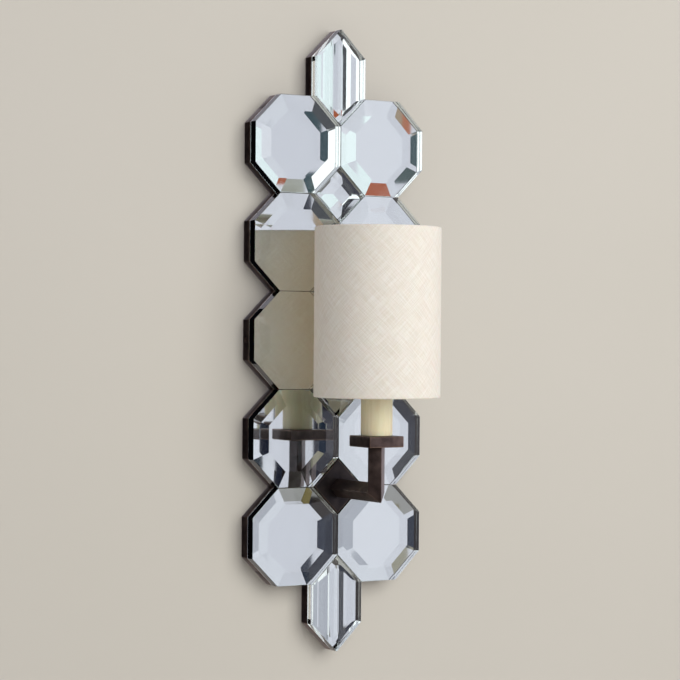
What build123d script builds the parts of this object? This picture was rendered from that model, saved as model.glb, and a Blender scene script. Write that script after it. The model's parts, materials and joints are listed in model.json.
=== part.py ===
"""Electric wall sconce with a candle sleeve and a linen drum shade.

A scalloped bronze back plate carries ten bevelled octagonal crystals in two columns, three square
crystals in the gaps between them and a pointed crystal at each end.  All of them are silvered on
the back.  A square bar comes out of a bronze boss in the lowest gap, turns up and carries a square
pan with the candle sleeve, the lamp holder, the bulb and the shade.

Frame: millimetres, +Z up, the wall is the plane y = 0 and the room is on the -Y side.  The origin
is the centre of the wall bracket, which is the centre of the back plate.  A "depth" below is a
distance from the wall towards the room.
"""
import os
from math import cos, radians, sin, sqrt, tan

from build123d import *

# ---- crystal field -------------------------------------------------------------------------------
tile_pitch = 85.0           # centre to centre of neighbouring octagons, both ways
tile_rows = 5
crystal_gap = 0.4           # hairline joint between neighbouring crystals
girdle_depth = 9.2          # straight edge of every crystal, behind its bevels
tile_bevel_width = 14.0
tile_bevel_rise = 2.2
point_step_width = 4.0      # outer bevel of the pointed crystals
point_line_width = 0.8      # steeper line between their two slopes
point_crest_width = 1.6     # steep facet each side of their crest
point_crest_flat = 0.6
point_slope_split = 0.4     # the outer slope's share of the width that is left
point_rises = (0.7, 0.35, 0.12, 0.45, 0.5)  # of step, outer slope, line, inner slope, crest
point_end_width = 6.0       # bevel across their four slanting ends
square_step_width = 6.0     # outer bevel of the square crystals
square_step_rise = 2.3
square_table_width = 13.4   # side of the small flat in the middle of the square crystals
square_table_rise = 1.5

# ---- back plate ----------------------------------------------------------------------------------
wall_gap = 0.5              # the rim stops this far short of the wall
plate_front = 10.5          # depth of the face that the crystals are bonded to
plate_skin = 1.5
rim_wall = 1.5
edge_reveal = 0.3           # the plate's outline lies this far inside the crystals'
bond_line = 0.5             # thickness of the adhesive
bond_inset = 4.0
silvering = 0.3             # silver and its backing paint
boss_clearance = 0.7        # between the bronze boss and the crystals beside it
boss_cover = 2.0            # bronze left in front of the threaded stem
overrun = 1.0               # how far a cut runs past the face that it opens

# ---- arm, pan and shade --------------------------------------------------------------------------
shade_diameter = 108.0
shade_height = 145.0
shade_stand_off = 6.8       # nearest approach of the shade to the octagons' faces
bar_side = 12.0
bar_wall = 1.2
bar_corner_radius = 0.6
arm_drop = 1.5              # the arm leaves the boss this far below its middle
pan_side = 34.0
pan_thickness = 9.5
pan_edge = 0.6
post_length = 39.0          # from the arm's axis to the underside of the pan
sleeve_reveal = 32.5        # sleeve showing between the pan and the shade

# ---- candle sleeve and lamp holder ---------------------------------------------------------------
sleeve_diameter = 27.0
sleeve_wall = 1.4
sleeve_length = 85.0
sleeve_lift = 0.2           # running gap under the sleeve, which turns freely
holder_clearance = 0.3
holder_height = 31.0
holder_base = 7.0
holder_lip = 1.6            # wall round the holder's mouth
shell_wall = 0.5
riser_diameter = 10.0
riser_bore = 7.0
thread_gap = 0.05           # radial gap of a screw in its thread
nut_across_flats = 14.0
nut_thickness = 3.0
washer_diameter = 18.0
washer_thickness = 0.6
riser_floor = 1.5           # bronze or plastic left beyond the end of the riser, above and below
sleeve_edge = 0.3           # chamfer round the sleeve's top
holder_recess = 1.0         # from the sleeve's top down to the holder's
seat_recess = 4.0           # from the holder's top down to the top of the bulb's cap
mouth_step = 0.5            # the holder's mouth starts this far below the top of the cap
shell_overlap = 1.0         # screw shell below the cap
shell_recess = 1.5          # screw shell short of the top of the cap
contact_width = 4.0         # leaf spring under the bulb
contact_length = 11.0
contact_leaf = 0.4
contact_button_radius = 2.2
contact_button_height = 0.7

# ---- bulb ----------------------------------------------------------------------------------------
cap_radius = 6.95           # small Edison screw cap
cap_length = 15.5
cap_wall = 0.6
insulator_height = 2.0
insulator_radius = 3.2
bulb_contact_height = 0.9
bulb_contact_radius = 2.4
bulb_radius = 17.5
bulb_length = 79.0          # glass above the cap
bulb_neck_radius = 6.6
bulb_wall = 0.8
bulb_shape = [(0.66, 0.15), (1.0, 0.37), (0.74, 0.65), (0.3, 0.88)]     # shares of radius and length
running_gap = 0.08
stem_clearance = 0.4        # from the glass stem's foot to the inside of the neck
stem_foot_below = 3.0
stem_foot_above = 1.2
stem_post_radius = 1.6
stem_post_share = 0.22      # of the bulb's length
filament_count = 4
filament_radius = 0.8
filament_circle = 4.5       # radius of the circle that the filaments stand on
filament_start_share = 0.2  # of the bulb's length
filament_share = 0.42

# ---- shade -----------------------------------------------------------------------------------------
fabric_thickness = 0.8
lining_thickness = 0.5
layer_gap = 0.05
ring_wire = 2.4
ring_inset = 1.0            # from the shade's edge to the ring
lining_setback = 0.6        # lining short of the linen's edges
clip_gap = 0.35
clip_top_share = 0.76       # height of the clip's top, of the bulb's length
clip_leaf_thickness = 0.6
clip_leaf_width = 5.0
clip_collar_height = 5.0
clip_leaf_length = 30.0
arm_wire = 2.2
arm_bend = 5.0
arm_ring_bite = 0.2         # the arms run this far into the ring's wire
arm_knee_share = 0.6        # of the ring's radius
arm_weld_gap = 0.3          # from the collar to the arms' sides, before they lean onto it

# ---- wall bracket, fixings and wiring --------------------------------------------------------------
bracket_thickness = 2.0
bracket_height = 30.0
bracket_clearance = 0.7     # from the tabs to the plate around them
bracket_corner = 3.0
tab_height = 16.0
wall_hole_spacing = 60.0
wall_slot_length = 12.0
wall_slot_width = 4.5
cable_hole_radius = 10.0
screw_radius = 2.0
screw_length = 6.0
screw_socket_flats = 2.0
screw_socket_depth = 2.0
screw_recess = 0.2          # screws end this far inside the rim's outer face
screw_hole_clearance = 0.3
earth_x = 18.0
earth_edge = 5.5            # from the bracket's lower edge to the earth screw
earth_head_radius = 3.6
earth_head_height = 2.2
earth_slot_width = 0.9
earth_slot_depth = 1.0
terminal_width = 30.0
terminal_height = 16.0
terminal_poles = 3
terminal_clearance = 1.5    # from the connector to the wall, beyond the rim's own gap
terminal_way_gap = 0.4      # radial gap of a wire in the connector
clamp_hole_radius = 1.7
wire_radius = 1.1
wire_spacing = 2.6
wire_bend = 3.2
wire_tail = 4.0             # straight wire below the connector
wire_slant = 8.0            # height over which the wires step back towards the wall
wire_stem_gap = 0.8         # between the wires and the stem that they pass behind
wire_stop = 2.0             # wires end this far below the holder's cavity
earth_tail = 6.0
earth_slant = 12.0
earth_wire_gap = 0.3        # between the earth wire and the bracket

# ---- worked out from the values above --------------------------------------------------------------
half_pitch = tile_pitch / 2
half_flat = half_pitch * tan(radians(22.5))     # half the length of one side of an octagon
corner_cut = half_pitch - half_flat             # what a cut corner takes off the square
end_row = tile_rows * half_pitch                # outer edge of the end rows
glass_back = plate_front + bond_line + silvering
girdle_front = glass_back + girdle_depth
tile_front = girdle_front + tile_bevel_rise
boss_z = -(tile_rows - 2) * half_pitch
arm_z = boss_z - arm_drop
arm_reach = tile_front + shade_stand_off + shade_diameter / 2
pan_bottom = arm_z + post_length
pan_top = pan_bottom + pan_thickness
sleeve_bottom = pan_top + sleeve_lift
sleeve_top = pan_top + sleeve_length
shade_bottom = pan_top + sleeve_reveal
shade_top = shade_bottom + shade_height
shade_radius = shade_diameter / 2
lining_radius = shade_radius - fabric_thickness - layer_gap
ring_radius = lining_radius - lining_thickness - layer_gap - ring_wire / 2
sleeve_bore = sleeve_diameter / 2 - sleeve_wall
holder_radius = sleeve_bore - holder_clearance
holder_top = sleeve_top - holder_recess
holder_bottom = holder_top - holder_height
shell_radius = cap_radius + running_gap + shell_wall
cavity_floor = holder_bottom + holder_base
bulb_seat = holder_top - seat_recess            # top of the cap, where the glass begins
cap_bottom = bulb_seat - cap_length
bulb_tip = bulb_seat + bulb_length
clip_top = bulb_seat + clip_top_share * bulb_length
plate_back = plate_front - plate_skin           # depth of the plate's rear face
terminal_depth = (plate_back + wall_gap + terminal_clearance) / 2


def at_depth(depth):
    """Plane parallel to the wall: local x is +X, local y is +Z, and it faces the room."""
    return Plane.XZ.offset(depth)


def slab(outline, near, far):
    """Solid of an outline drawn as seen from the room, from one depth to another."""
    return extrude(at_depth(near) * outline, amount=far - near)


def frustum(lower, upper, near, far):
    """Flat facets from one outline at the near depth to a smaller one at the far depth."""
    return loft([at_depth(near) * lower, at_depth(far) * upper], ruled=True)


def shrink(outline, amount):
    """Outline moved inwards all round with its corners kept sharp."""
    return offset(outline, -amount, kind=Kind.INTERSECTION)


def on_axis(radius, low, high, inner=0.0):
    """Round bar or tube on the candle's axis between two heights."""
    ring = Circle(radius) - Circle(inner) if inner else Circle(radius)
    return extrude(Plane((0, -arm_reach, low)) * ring, amount=high - low)


def polygon(points):
    """Closed outline through the points given."""
    return make_face(Polyline(*points, close=True))


# ---- outlines --------------------------------------------------------------------------------------
def octagon(across_flats):
    """Octagon with a side at the left, right, top and bottom."""
    return RegularPolygon(across_flats / 2, 8, major_radius=False, rotation=22.5)


def diamond(half_diagonal):
    """Square standing on its corner."""
    return polygon([(half_diagonal, 0), (0, half_diagonal), (-half_diagonal, 0), (0, -half_diagonal)])


def point_outline(sign):
    """Pointed end piece, in the notch above (sign 1) or below (sign -1) the octagons."""
    low, side = end_row - corner_cut, end_row + 2 * half_flat
    half = [(0, low), (corner_cut, end_row), (corner_cut, side), (0, side + corner_cut)]
    points = half + [(-corner_cut, side), (-corner_cut, end_row)]
    return polygon([(x, sign * z) for x, z in points])


def field_outline():
    """Outer edge of the whole field of crystals, from the lowest point round to the left side."""
    tip = end_row + 2 * half_flat + corner_cut
    right = [(corner_cut, -end_row - 2 * half_flat), (corner_cut, -end_row)]
    for row in range(tile_rows):
        z = row_height(tile_rows - 1 - row)
        right += [(half_pitch + half_flat, z - half_pitch), (tile_pitch, z - half_flat)]
        right += [(tile_pitch, z + half_flat)]
    right += [(half_pitch + half_flat, end_row), (corner_cut, end_row)]
    right += [(corner_cut, end_row + 2 * half_flat)]
    left = [(-x, z) for x, z in reversed(right)]
    return polygon([(0, -tip)] + right + [(0, tip)] + left)


def row_height(row):
    """Height of the middle of a row of octagons, where row 0 is the top one."""
    return ((tile_rows - 1) / 2 - row) * tile_pitch


def square_rows():
    """Heights of the gaps that hold square crystals, from the top; the last gap is the boss's."""
    return [row_height(row) - half_pitch for row in range(tile_rows - 2)]


# ---- crystals --------------------------------------------------------------------------------------
def octagon_crystal(x, z):
    """Octagon with one broad bevel round a flat table."""
    outline = Pos(x, z) * octagon(tile_pitch - crystal_gap)
    table = Pos(x, z) * octagon(tile_pitch - crystal_gap - 2 * tile_bevel_width)
    return slab(outline, glass_back, girdle_front) + frustum(outline, table, girdle_front, tile_front)


def point_profile():
    """Front of the pointed crystals in section, from the right edge to the left: X and depth."""
    across, front = corner_cut - crystal_gap / 2, girdle_front
    fixed = point_step_width + point_line_width + point_crest_width
    slopes = across - point_crest_flat / 2 - fixed
    outer = point_slope_split * slopes
    widths = (point_step_width, outer, point_line_width, slopes - outer, point_crest_width)
    right = [(across, front)]
    for width, rise in zip(widths, point_rises):
        across, front = across - width, front + rise
        right.append((across, front))
    return right + [(-x, depth) for x, depth in reversed(right)]


def pointed_crystal(sign):
    """Pointed crystal whose step, slopes and crest run its whole length, bevelled at its ends."""
    middle = sign * (end_row + half_flat)
    full = corner_cut + half_flat - crystal_gap / 2 * sqrt(2)
    lower, upper = [Pos(0, middle) * diamond(size) for size in (full, full - point_end_width * sqrt(2))]
    ends = frustum(lower, upper, girdle_front, girdle_front + sum(point_rises))
    section = polygon([(x, -depth) for x, depth in point_profile()])
    slopes = extrude(Plane((0, 0, middle - full)) * section, amount=2 * full)
    outline = shrink(point_outline(sign), crystal_gap / 2)
    return slab(outline, glass_back, girdle_front) + (slopes & ends)


def square_crystal(z):
    """Square crystal on its corner with two steps up to a small table."""
    full = (corner_cut - crystal_gap / 2 * sqrt(2))
    step = full - square_step_width * sqrt(2)
    table = square_table_width / sqrt(2)
    step_front = girdle_front + square_step_rise
    outlines = [Pos(0, z) * diamond(size) for size in (full, step, table)]
    body = slab(outlines[0], glass_back, girdle_front)
    body += frustum(outlines[0], outlines[1], girdle_front, step_front)
    return body + frustum(outlines[1], outlines[2], step_front, step_front + square_table_rise)


def crystal_outlines():
    """Outlines of the octagons, the pointed and the square crystals, in three lists."""
    octagons = []
    for row in range(tile_rows):
        for x in (-half_pitch, half_pitch):
            octagons.append(Pos(x, row_height(row)) * octagon(tile_pitch - crystal_gap))
    points = [shrink(point_outline(sign), crystal_gap / 2) for sign in (1, -1)]
    full = corner_cut - crystal_gap / 2 * sqrt(2)
    squares = [Pos(0, z) * diamond(full) for z in square_rows()]
    return octagons, points, squares


def mirror_backs(outlines):
    """Silvered and painted backs of a set of crystals, one thin solid each."""
    return Compound([slab(each, glass_back - silvering, glass_back) for each in outlines])


def adhesive_pads():
    """Adhesive between each silvered back and the plate."""
    octagons, points, squares = crystal_outlines()
    pads = [slab(shrink(each, bond_inset), plate_front, plate_front + bond_line)
            for each in octagons + points + squares]
    return Compound(pads)


# ---- back plate, boss and wall bracket ---------------------------------------------------------------
def back_plate():
    """Flat scalloped plate with a hole for the arm's threaded stem."""
    plate = slab(shrink(field_outline(), edge_reveal), plate_back, plate_front)
    hole = slab(Pos(0, boss_z) * Circle(riser_diameter / 2 + thread_gap), 0, plate_front + overrun)
    return plate - hole


def plate_rim():
    """Edge wall brazed behind the plate, with a hole each side for the fixing screws."""
    outer = shrink(field_outline(), edge_reveal)
    strip = outer - shrink(outer, rim_wall)
    rim = slab(strip, wall_gap, plate_back)
    through = 2 * (tile_pitch + overrun)
    hole = Cylinder(screw_radius + screw_hole_clearance, through, rotation=(0, 90, 0))
    return rim - Pos(0, -screw_depth(), 0) * hole


def boss():
    """Bronze block that fills the lowest gap, bored for the stem and the wires."""
    block = slab(Pos(0, boss_z) * diamond(corner_cut - boss_clearance * sqrt(2)), plate_front, girdle_front)
    front_edges = block.faces().sort_by(Axis.Y)[0].edges()
    block = chamfer(front_edges, pan_edge)
    stem = slab(Pos(0, boss_z) * Circle(riser_diameter / 2 + thread_gap), plate_front, stem_front())
    wires = slab(Pos(0, arm_z) * Circle(riser_bore / 2), plate_front, girdle_front)
    return block - stem - wires


def rim_strips():
    """The edge wall as it is bent up: a strip for each side and one round each pointed end."""
    joint = end_row - corner_cut / 2            # butt joints half way along the end diagonals
    depth, width = plate_front, 2 * tile_pitch
    sides = plate_rim() & Pos(0, -depth / 2, 0) * Box(width, depth, 2 * joint)
    left, right = sides.solids().sort_by(Axis.X)
    strips = {"plate_rim_left": left, "plate_rim_right": right}
    for name, sign in (("top", 1), ("bottom", -1)):
        end = Pos(0, -depth / 2, sign * (joint + end_row / 2)) * Box(width, depth, end_row)
        strips[f"plate_rim_{name}"] = plate_rim() & end
    return strips


def screw_depth():
    """Depth of the two fixing screws: the middle of the space inside the plate."""
    return (bracket_thickness + plate_back) / 2


def bracket_half_length():
    """Reach of the bracket's tabs towards each side."""
    return tile_pitch - edge_reveal - rim_wall - bracket_clearance


def wall_bracket():
    """Pressed steel bar with a tapped tab bent forward at each end, slots and a cable hole."""
    half = bracket_half_length()
    bar = slab(RectangleRounded(2 * half, bracket_height, bracket_corner), 0, bracket_thickness)
    tab_front = plate_back - bracket_clearance
    for side in (-1, 1):
        x = side * (half - bracket_thickness / 2)
        tab = slab(Pos(x, 0) * Rectangle(bracket_thickness, tab_height), bracket_thickness, tab_front)
        bar += tab
        slot = Pos(side * wall_hole_spacing / 2, 0) * SlotOverall(wall_slot_length, wall_slot_width)
        bar -= slab(slot, -overrun, bracket_thickness + overrun)
    bar -= slab(Circle(cable_hole_radius), -overrun, bracket_thickness + overrun)
    earth_hole = Pos(*earth_point()) * Circle(screw_radius + thread_gap)
    bar -= slab(earth_hole, -overrun, bracket_thickness + overrun)
    tapped = Cylinder(screw_radius + thread_gap, 2 * (half + overrun), rotation=(0, 90, 0))
    return bar - Pos(0, -screw_depth(), 0) * tapped


def fixing_screw(side):
    """Socket set screw through the rim into the bracket's tab, on one side (-1 left, 1 right)."""
    outer = tile_pitch - edge_reveal - screw_recess
    body = Cylinder(screw_radius, screw_length, rotation=(0, 90, 0))
    socket_profile = RegularPolygon(screw_socket_flats / 2, 6, major_radius=False)
    socket = extrude(Plane.YZ * socket_profile, amount=screw_socket_depth)
    screw = Pos(outer - screw_length / 2, 0, 0) * body - Pos(outer - screw_socket_depth, 0, 0) * socket
    if side < 0:
        screw = mirror(screw, about=Plane.YZ)
    return Pos(0, -screw_depth(), 0) * screw


def earth_point():
    """Place of the earth screw on the bracket, seen from the room."""
    return (earth_x, -bracket_height / 2 + earth_edge)


def earth_screw():
    """Pan head screw and its shank in the bracket."""
    x, z = earth_point()
    head_front = bracket_thickness + earth_head_height
    shank = slab(Pos(x, z) * Circle(screw_radius), screw_recess, bracket_thickness)
    head = slab(Pos(x, z) * Circle(earth_head_radius), bracket_thickness, head_front)
    groove = Pos(x, z) * Rectangle(2 * (earth_head_radius + overrun), earth_slot_width)
    return shank + head - slab(groove, head_front - earth_slot_depth, head_front + overrun)


def terminal_z():
    """Height of the connector, between the bracket and the boss."""
    return boss_z / 2


def terminal_block():
    """Screw connector with one wire way and two clamp screw holes for each pole."""
    outline = Pos(0, terminal_z()) * Rectangle(terminal_width, terminal_height)
    block = slab(outline, wall_gap + terminal_clearance, plate_back)
    pole = terminal_width / terminal_poles
    for index in range(terminal_poles):
        x = (index - (terminal_poles - 1) / 2) * pole
        way = Cylinder(wire_radius + terminal_way_gap, terminal_height + 2 * overrun)
        block -= Pos(x, -terminal_depth, terminal_z()) * way
        for z in (-terminal_height / 4, terminal_height / 4):
            block -= slab(Pos(x, terminal_z() + z) * Circle(clamp_hole_radius), 0, terminal_depth)
    return block


# ---- arm ---------------------------------------------------------------------------------------------
def bar_section():
    """Square tube standing on its corner."""
    inner = bar_side - 2 * bar_wall
    ring = RectangleRounded(bar_side, bar_side, bar_corner_radius) - Rectangle(inner, inner)
    return Rot(0, 0, 45) * ring


def mitre_plane():
    """Plane of the mitred corner between the arm and the post."""
    return Plane(origin=(0, -arm_reach, arm_z), x_dir=(1, 0, 0), z_dir=(0, 1, -1))


def arm_tube():
    """Level tube from the boss to the mitred corner."""
    tube = slab(Pos(0, arm_z) * bar_section(), girdle_front, arm_reach + bar_side)
    return split(tube, bisect_by=mitre_plane(), keep=Keep.TOP)


def post_tube():
    """Upright tube from the mitred corner to the underside of the pan."""
    start = Plane((0, -arm_reach, arm_z - bar_side))
    tube = extrude(start * bar_section(), amount=post_length + bar_side)
    return split(tube, bisect_by=mitre_plane(), keep=Keep.BOTTOM)


def drip_pan():
    """Square pan with softened edges, bored for the riser and the wires."""
    block = Pos(0, -arm_reach, pan_bottom + pan_thickness / 2) * Box(pan_side, pan_side, pan_thickness)
    block = chamfer(block.edges(), pan_edge)
    riser = on_axis(riser_diameter / 2 + thread_gap, pan_bottom + riser_floor, pan_top + overrun)
    return block - riser - on_axis(riser_bore / 2, pan_bottom - overrun, pan_top)


def arm_stem():
    """Hollow threaded stem that draws the boss against the plate."""
    ring = Pos(0, boss_z) * (Circle(riser_diameter / 2) - Circle(riser_bore / 2))
    return slab(ring, stem_back(), stem_front())


def stem_back():
    """Depth of the stem's inner end, level with its nut."""
    return plate_back - washer_thickness - nut_thickness


def stem_front():
    """Depth of the stem's outer end, inside the boss."""
    return girdle_front - boss_cover


def stem_washer():
    """Flat washer between the nut and the plate."""
    ring = Circle(washer_diameter / 2) - Circle(riser_diameter / 2 + thread_gap)
    return slab(Pos(0, boss_z) * ring, plate_back - washer_thickness, plate_back)


def hex_nut_outline():
    """Outline of the nuts that fit the hollow threaded tubes."""
    hexagon = RegularPolygon(nut_across_flats / 2, 6, major_radius=False)
    return hexagon - Circle(riser_diameter / 2 + thread_gap)


def stem_nut():
    """Nut on the stem, behind the plate."""
    return slab(Pos(0, boss_z) * hex_nut_outline(), stem_back(), stem_back() + nut_thickness)


# ---- lamp holder and sleeve ----------------------------------------------------------------------------
def holder_riser():
    """Hollow threaded riser from the pan to the lamp holder."""
    low, high = pan_bottom + riser_floor, cavity_floor - riser_floor
    return on_axis(riser_diameter / 2, low, high, riser_bore / 2)


def riser_nut():
    """Nut that clamps the riser to the pan."""
    return extrude(Plane((0, -arm_reach, pan_top)) * hex_nut_outline(), amount=nut_thickness)


def lamp_holder_body():
    """Plain moulded holder: threaded base, cavity for the screw shell and a narrowed mouth."""
    body = on_axis(holder_radius, holder_bottom, holder_top)
    body -= on_axis(shell_radius + layer_gap, cavity_floor, bulb_seat)
    body -= on_axis(holder_radius - holder_lip, bulb_seat - mouth_step, holder_top + overrun)
    riser_end = cavity_floor - riser_floor
    body -= on_axis(riser_diameter / 2 + thread_gap, holder_bottom - overrun, riser_end)
    return body - on_axis(riser_bore / 2, riser_end - overrun, cavity_floor + overrun)


def holder_screw_shell():
    """Brass screw shell that takes the bulb's cap."""
    bore = cap_radius + running_gap
    return on_axis(shell_radius, cap_bottom - shell_overlap, bulb_seat - shell_recess, bore)


def holder_contact():
    """Sprung centre contact under the bulb."""
    spring = Box(contact_width, contact_length, contact_leaf)
    button = Cylinder(contact_button_radius, contact_button_height)
    rise = (contact_leaf + contact_button_height) / 2
    place = Pos(0, -arm_reach, contact_top() - contact_leaf / 2 - contact_button_height)
    return place * (spring + Pos(0, 0, rise) * button)


def contact_top():
    """Height of the centre contact's upper face, just under the bulb's own contact."""
    return cap_bottom - insulator_height - bulb_contact_height - running_gap


def candle_sleeve():
    """Candle tube that slips over the holder and stands on the pan."""
    tube = on_axis(sleeve_diameter / 2, sleeve_bottom, sleeve_top, sleeve_bore)
    top_edge = tube.faces().sort_by(Axis.Z)[-1].edges()
    return chamfer(top_edge, sleeve_edge)


# ---- bulb ------------------------------------------------------------------------------------------------
def bulb_stations(inset=0.0):
    """Radius and height pairs down the candle-shaped glass, moved inwards by a wall."""
    stations = [(bulb_neck_radius, 0.0)]
    stations += [(radius * bulb_radius, height) for radius, height in bulb_shape]
    return [(radius - inset, bulb_seat + share * bulb_length) for radius, share in stations]


def bulb_profile(inset, tip):
    """Half section of the glass between the axis and its outside."""
    stations = bulb_stations(inset)
    curve = Spline(*stations, (0, tip), tangents=[(0.25, 1), (-1, 0.25)])
    base = stations[0][1]
    closing = Polyline((0, tip), (0, base), stations[0])
    return make_face([curve, closing])


def revolve_about_candle(face):
    """Turn a half section, drawn as radius and height, about the candle's axis."""
    upright = Plane.XZ * face
    return Pos(0, -arm_reach, 0) * revolve(upright, axis=Axis.Z)


def bulb_glass():
    """Thin blown glass, open at the cap."""
    outer = revolve_about_candle(bulb_profile(0, bulb_tip))
    inner = revolve_about_candle(bulb_profile(bulb_wall, bulb_tip - 2 * bulb_wall))
    return outer - inner


def bulb_cap():
    """Metal screw cap, hollow over the stem's base."""
    return on_axis(cap_radius, cap_bottom, bulb_seat, cap_radius - cap_wall)


def bulb_insulator():
    """Insulating collar that closes the bottom of the cap."""
    collar = Plane((0, -arm_reach, cap_bottom - insulator_height)) * Circle(insulator_radius)
    seat = Plane((0, -arm_reach, cap_bottom)) * Circle(cap_radius)
    return loft([collar, seat])


def bulb_contact():
    """Centre contact of the bulb."""
    top = cap_bottom - insulator_height
    return on_axis(bulb_contact_radius, top - bulb_contact_height, top)


def bulb_stem():
    """Glass stem that holds the filaments."""
    foot_radius = bulb_neck_radius - bulb_wall - stem_clearance
    foot_top = bulb_seat + stem_foot_above
    foot = on_axis(foot_radius, bulb_seat - stem_foot_below, foot_top)
    return foot + on_axis(stem_post_radius, foot_top, bulb_seat + stem_post_share * bulb_length)


def bulb_filaments():
    """Upright filaments round the stem."""
    low = bulb_seat + filament_start_share * bulb_length
    rods = []
    for index in range(filament_count):
        angle = radians(360 / filament_count * (index + 0.5))
        x, y = filament_circle * cos(angle), filament_circle * sin(angle) - arm_reach
        rod = extrude(Plane((x, y, low)) * Circle(filament_radius), amount=filament_share * bulb_length)
        rods.append(rod)
    return Compound(rods)


# ---- shade -----------------------------------------------------------------------------------------------
def shade_fabric():
    """Linen drum, open at both ends."""
    return on_axis(shade_radius, shade_bottom, shade_top, shade_radius - fabric_thickness)


def shade_lining():
    """Stiff lining that the linen is mounted on."""
    low, high = shade_bottom + lining_setback, shade_top - lining_setback
    return on_axis(lining_radius, low, high, lining_radius - lining_thickness)


def shade_ring(z):
    """Round wire ring inside one edge of the shade."""
    return Pos(0, -arm_reach, z) * Torus(ring_radius, ring_wire / 2)


def top_ring_z():
    """Height of the upper ring's wire."""
    return shade_top - ring_inset - ring_wire / 2


def bottom_ring_z():
    """Height of the lower ring's wire."""
    return shade_bottom + ring_inset + ring_wire / 2


def bulb_clip():
    """Spring clip: a collar over the upper glass and four leaves that grip it lower down."""
    leaf = clip_leaf_thickness
    hull = revolve_about_candle(bulb_profile(-clip_gap - leaf, bulb_tip + 2 * overrun))
    core = revolve_about_candle(bulb_profile(-clip_gap, bulb_tip + overrun))
    outside = 2 * bulb_radius
    low = clip_top - clip_leaf_length
    band = on_axis(outside, low, clip_top)
    shell = (hull - core) & band
    cross = Box(clip_leaf_width, 2 * outside, clip_leaf_length)
    cross += Box(2 * outside, clip_leaf_width, clip_leaf_length)
    cross = Rot(0, 0, 45) * cross
    collar = on_axis(outside, clip_top - clip_collar_height, clip_top)
    keep = Pos(0, -arm_reach, clip_top - clip_leaf_length / 2) * cross + collar
    return shell & keep


def collar_outside():
    """Outer radius of the clip's collar at its top edge."""
    clip = bulb_clip()
    return clip.faces().sort_by(Axis.Z)[-1].bounding_box().size.X / 2


def clip_arms():
    """Two wires from the upper ring in to the clip's collar."""
    reach = collar_outside()
    high = top_ring_z() - ring_wire / 2 - arm_wire / 2
    low = clip_top - clip_collar_height / 2
    arms = []
    for side in (-1, 1):
        outer = side * (ring_radius + arm_ring_bite)
        knee = side * arm_knee_share * ring_radius
        inner = side * (reach + arm_wire / 2 + arm_weld_gap)
        route = FilletPolyline((outer, 0, high), (knee, 0, high), (inner, 0, low), radius=arm_bend)
        start = Plane(origin=(outer, 0, high), z_dir=(-side, 0, 0))
        wire = sweep(start * Circle(arm_wire / 2), path=route)
        arms.append(Pos(0, -arm_reach, 0) * wire)
    return Compound(arms)


# ---- wiring ----------------------------------------------------------------------------------------------
def lamp_wire(x):
    """One wire from the connector down behind the plate, along the arm and up to the holder."""
    low = terminal_z() - terminal_height / 2
    bend = low - wire_tail
    behind_stem = stem_back() - wire_stem_gap - wire_radius
    points = [(-terminal_depth, low), (-terminal_depth, bend), (-behind_stem, bend - wire_slant)]
    points += [(-behind_stem, arm_z), (-arm_reach, arm_z), (-arm_reach, cavity_floor - wire_stop)]
    route = FilletPolyline(*[(x, y, z) for y, z in points], radius=wire_bend)
    start = Plane(origin=(x, -terminal_depth, low), z_dir=(0, 0, -1))
    return sweep(start * Circle(wire_radius), path=route)


def earth_wire():
    """Wire from the connector up to the earth screw on the bracket."""
    depth = bracket_thickness + wire_radius + earth_wire_gap
    x, z = earth_point()
    pole = terminal_width / terminal_poles
    high = terminal_z() + terminal_height / 2
    bend = high + earth_tail
    points = [(pole, -terminal_depth, high), (pole, -terminal_depth, bend), (x, -depth, bend + earth_slant)]
    points += [(x, -depth, z - earth_head_radius - screw_recess)]
    route = FilletPolyline(*points, radius=wire_bend)
    start = Plane(origin=points[0], z_dir=(0, 0, 1))
    return sweep(start * Circle(wire_radius), path=route)


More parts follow.
